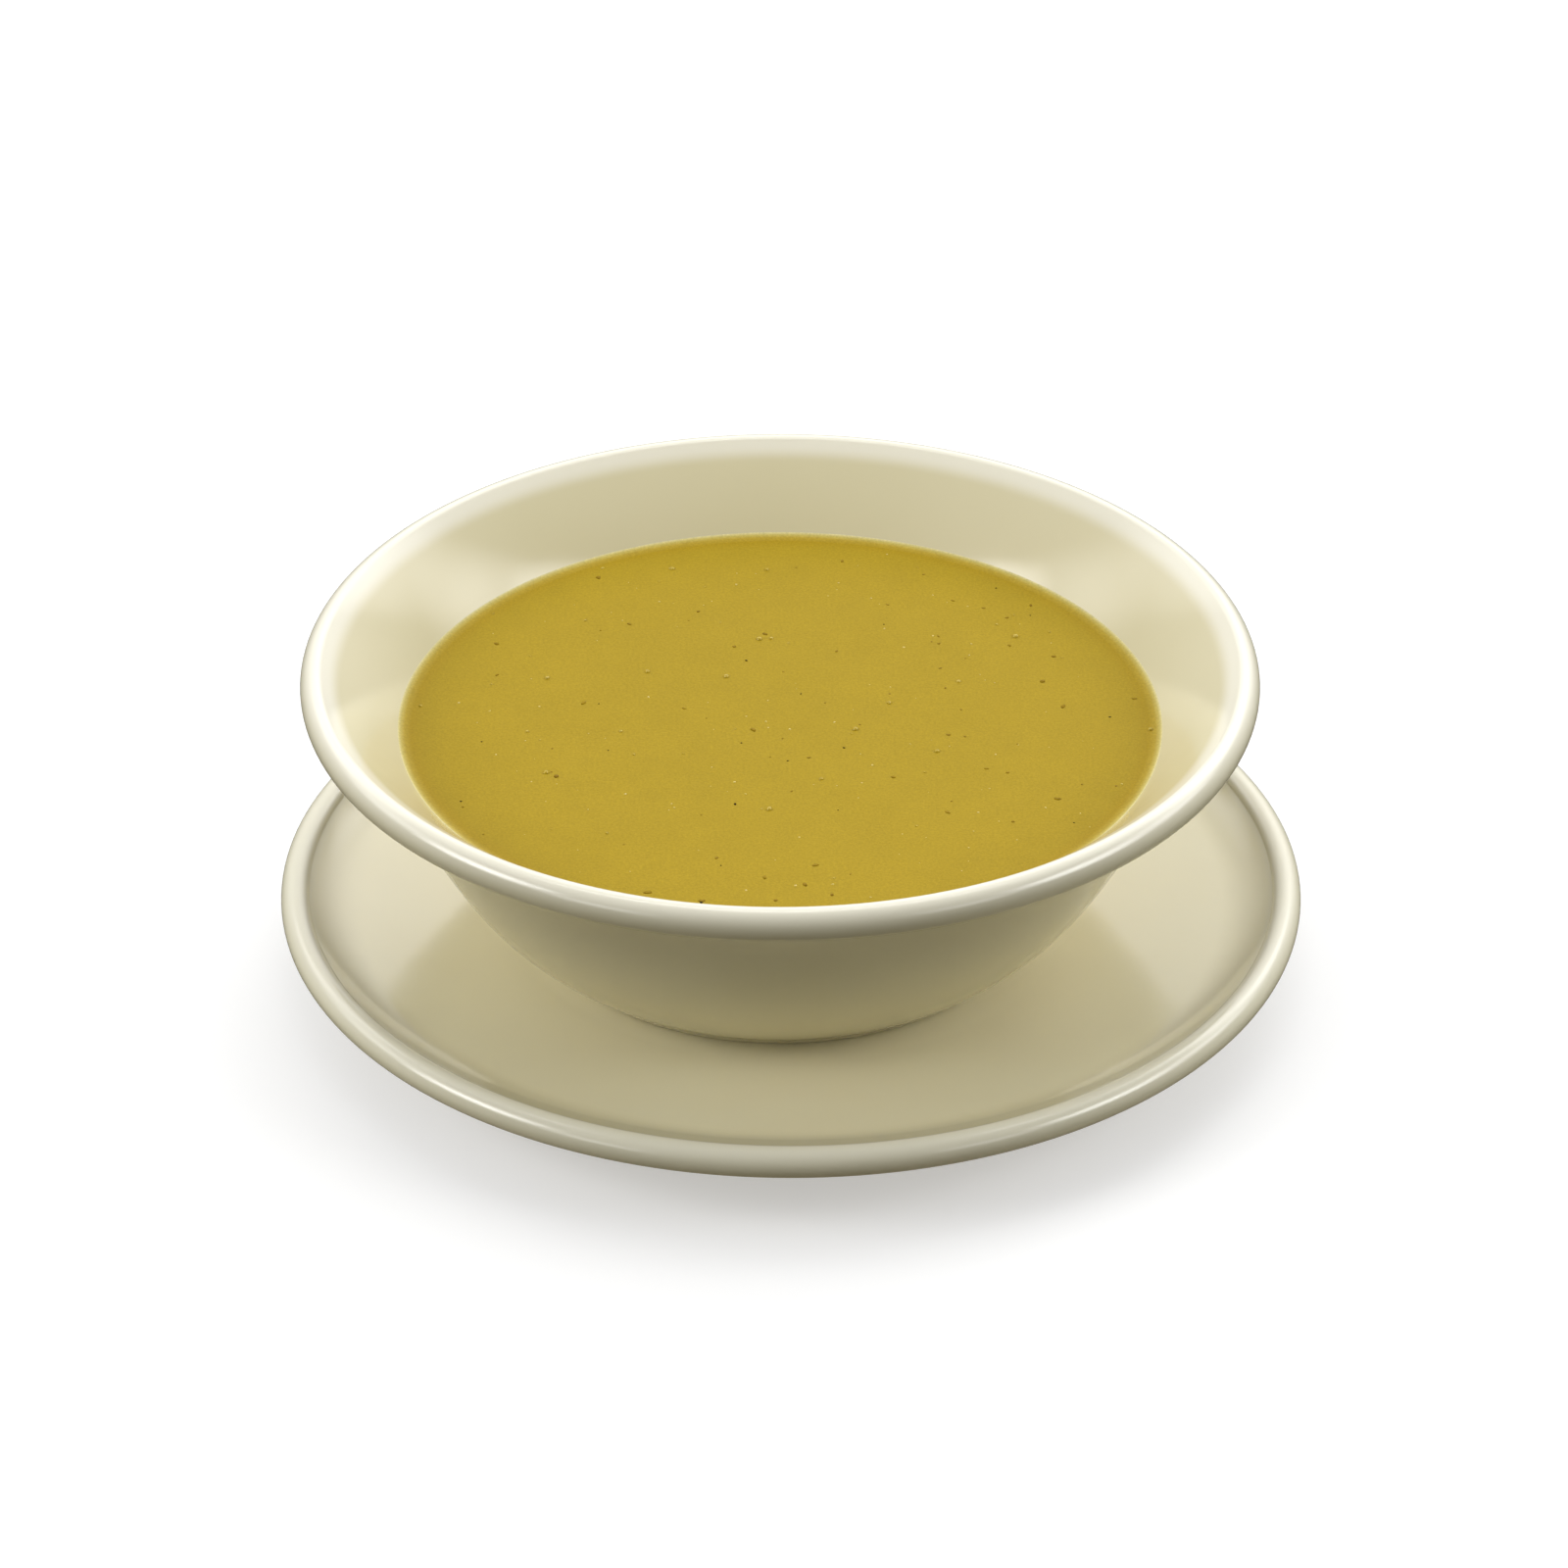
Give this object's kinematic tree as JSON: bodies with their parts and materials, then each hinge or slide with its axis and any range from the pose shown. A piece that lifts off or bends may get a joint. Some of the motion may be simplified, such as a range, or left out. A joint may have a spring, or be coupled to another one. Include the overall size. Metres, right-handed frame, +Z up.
{
  "type": "bowl of lentil soup",
  "caption": "Flared round bowl with a rolled lip, filled with smooth lentil soup and standing on its matching rolled-lip under-plate.",
  "frame": {"origin": "on the under-plate's axis, in the plane of the foot ring that it stands on", "axes": "+Z up out of the bowl; the picture looks along +Y and down, with +X to its right"},
  "size_m": [0.1724, 0.1724, 0.0579],
  "materials": {
    "porcelain": "gloss",
    "soup": "satin"
  },
  "bodies": {
    "root": {"under_plate": "porcelain", "bowl": "porcelain", "soup": "soup"}
  },
  "joints": []
}
